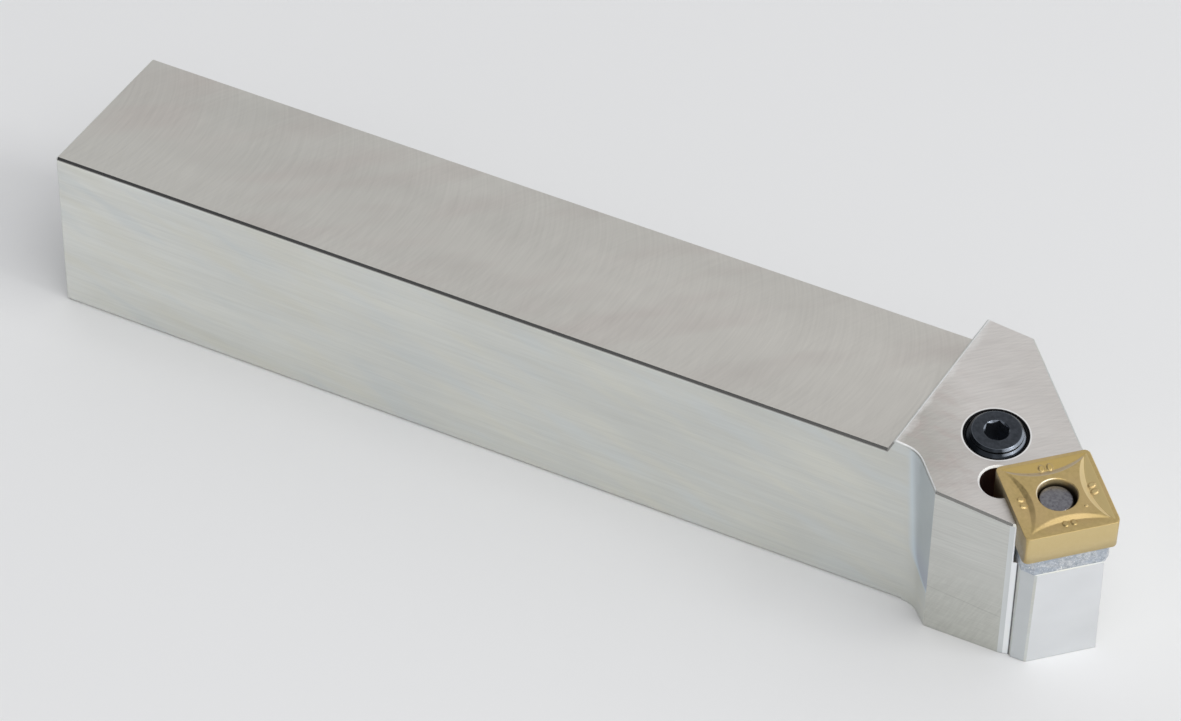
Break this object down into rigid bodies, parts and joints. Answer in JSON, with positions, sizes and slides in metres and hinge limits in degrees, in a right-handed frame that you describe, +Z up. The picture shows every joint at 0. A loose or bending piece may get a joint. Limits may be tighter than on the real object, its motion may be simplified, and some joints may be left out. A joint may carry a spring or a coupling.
{
  "type": "turning tool holder",
  "caption": "Lever-lock turning tool holder: square shank, tilted head at 45 degrees, clamped square indexable insert on a shim, with lever and socket screw.",
  "frame": {"origin": "middle of the gripping length of the shank, on its bottom bearing face", "axes": "+X along the shank towards the cutting end, +Y towards the shank's far side, away from the cutting corner, +Z up"},
  "size_m": [0.1583, 0.032, 0.0292],
  "materials": {
    "tool_steel": "ground and milled, satin",
    "hard_metal": "sintered and ground, matt",
    "spring_steel": "drawn, satin",
    "lever_steel": "blackened, satin",
    "black_steel": "black oxide, satin",
    "coated_carbide": "gold-coloured hard coating, matt"
  },
  "bodies": {
    "holder": {"holder_body": "tool_steel", "shim_seat": "hard_metal", "shim_pin": "spring_steel", "cutting_insert": "coated_carbide"},
    "screw": {"lever_screw": "black_steel"},
    "lever": {"clamp_lever": "lever_steel"}
  },
  "joints": [
    {"name": "screw_lift", "type": "slide", "parent": "holder", "child": "screw", "axis": [0.0984, -0.0984, 0.9903], "range_m": [0, 0.00036]},
    {"name": "lever_tilt", "type": "hinge", "parent": "holder", "child": "lever", "pos_m": [0.0853, -0.0095, 0.01182], "axis": [0.4622, 0.8858, 0.0421], "range_deg": [0, 2.09]}
  ],
  "couplings": [
    {"joint": "lever_tilt", "follows": "screw_lift", "rad_per_m": 101.15}
  ]
}
